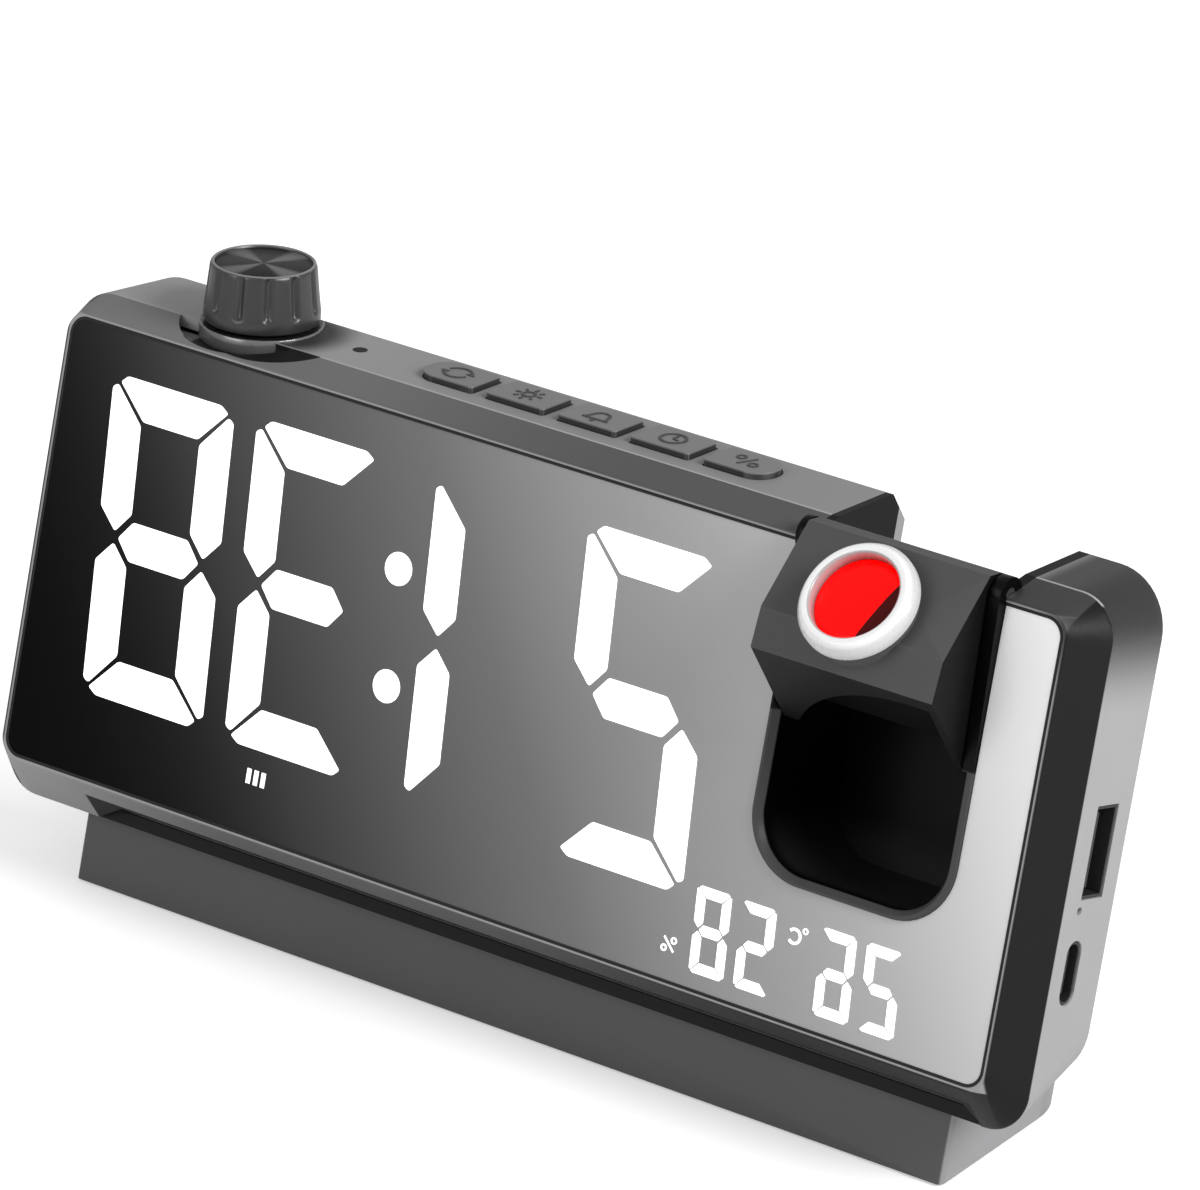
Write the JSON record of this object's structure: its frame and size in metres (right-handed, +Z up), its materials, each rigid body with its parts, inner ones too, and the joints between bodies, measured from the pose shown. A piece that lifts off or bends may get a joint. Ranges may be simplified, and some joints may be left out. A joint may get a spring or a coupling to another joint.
{
  "type": "projection alarm clock",
  "caption": "Desk alarm clock with a mirrored front, leaning on a plinth foot, with a tilting ceiling projector, a turning knob, a row of push buttons and side charging sockets.",
  "frame": {"origin": "centre of the bounding box at the underside of the rubber pads", "axes": "+X to the right of the clock seen from the front, +Y towards its back, +Z up"},
  "size_m": [0.1944, 0.0454, 0.0985],
  "materials": {
    "case_grey": "satin moulded",
    "mirror": "half-silvered",
    "recess_black": "satin",
    "head_dark": "satin",
    "ring_white": "gloss",
    "lens_red": "polished",
    "barrel_black": "matte",
    "film": "gloss",
    "lamp": "clear",
    "knob_black": "gloss",
    "steel": "plain",
    "button_grey": "satin",
    "switch_black": "matte",
    "board_green": "soldered board",
    "mask_black": "matte",
    "diffuser": "frosted",
    "speaker_black": "matte",
    "tongue_black": "matte",
    "foot_grey": "satin moulded",
    "pad_rubber": "matte"
  },
  "bodies": {
    "root": {"housing": "case_grey", "mirror_window": "mirror", "rear_cover": "case_grey", "projector_recess": "recess_black", "knob_collar": "knob_black", "rotary_control": "switch_black", "tact_switches": "switch_black", "button_board": "board_green", "light_sensor": "diffuser", "reset_switch": "switch_black", "display_mask": "mask_black", "display_board": "board_green", "time_windows": "diffuser", "small_windows": "diffuser", "colon_windows": "diffuser", "board_header": "switch_black", "main_board": "board_green", "board_chips": "switch_black", "alarm_speaker": "speaker_black", "cell_holder": "switch_black", "coin_cell": "steel", "cell_door": "case_grey", "usb_a_shell": "steel", "usb_a_tongue": "tongue_black", "usb_c_shell": "steel", "usb_c_tongue": "tongue_black", "socket_board": "board_green", "foot": "foot_grey", "foot_plate": "foot_grey", "rubber_pads": "pad_rubber", "cover_screws": "steel", "foot_screws": "steel"},
    "projector_head": {"projector_head_shell": "head_dark", "projector_head_cover": "head_dark", "projector_hinge_pins": "steel", "lens_barrel": "barrel_black", "projector_film": "film", "projector_lamp": "lamp"},
    "focus_ring_body": {"focus_ring": "ring_white", "projection_lens": "lens_red"},
    "knob_body": {"control_knob": "knob_black", "knob_shaft": "steel"},
    "button_1_body": {"button_1": "button_grey"},
    "button_2_body": {"button_2": "button_grey"},
    "button_3_body": {"button_3": "button_grey"},
    "button_4_body": {"button_4": "button_grey"},
    "button_5_body": {"button_5": "button_grey"}
  },
  "joints": [
    {"name": "projector_hinge", "type": "hinge", "parent": "root", "child": "projector_head", "pos_m": [0.06405, 0.00054, 0.08792], "axis": [1, 0, 0], "range_deg": [-140, 30]},
    {"name": "focus_turn", "type": "hinge", "parent": "projector_head", "child": "focus_ring_body", "pos_m": [0.06405, -0.00946, 0.08462], "axis": [0, -0.609, 0.7931], "range_deg": [-60, 60]},
    {"name": "knob_turn", "type": "hinge", "parent": "root", "child": "knob_body", "pos_m": [-0.0664, 0.01251, 0.0877], "axis": [0, 0.1201, 0.9928], "continuous": true},
    {"name": "button_1_press", "type": "slide", "parent": "root", "child": "button_1_body", "axis": [0, -0.1201, -0.9928], "range_m": [0, 0.0008], "stiffness_N_per_m": 1200},
    {"name": "button_2_press", "type": "slide", "parent": "root", "child": "button_2_body", "axis": [0, -0.1201, -0.9928], "range_m": [0, 0.0008], "stiffness_N_per_m": 1200},
    {"name": "button_3_press", "type": "slide", "parent": "root", "child": "button_3_body", "axis": [0, -0.1201, -0.9928], "range_m": [0, 0.0008], "stiffness_N_per_m": 1200},
    {"name": "button_4_press", "type": "slide", "parent": "root", "child": "button_4_body", "axis": [0, -0.1201, -0.9928], "range_m": [0, 0.0008], "stiffness_N_per_m": 1200},
    {"name": "button_5_press", "type": "slide", "parent": "root", "child": "button_5_body", "axis": [0, -0.1201, -0.9928], "range_m": [0, 0.0008], "stiffness_N_per_m": 1200}
  ]
}
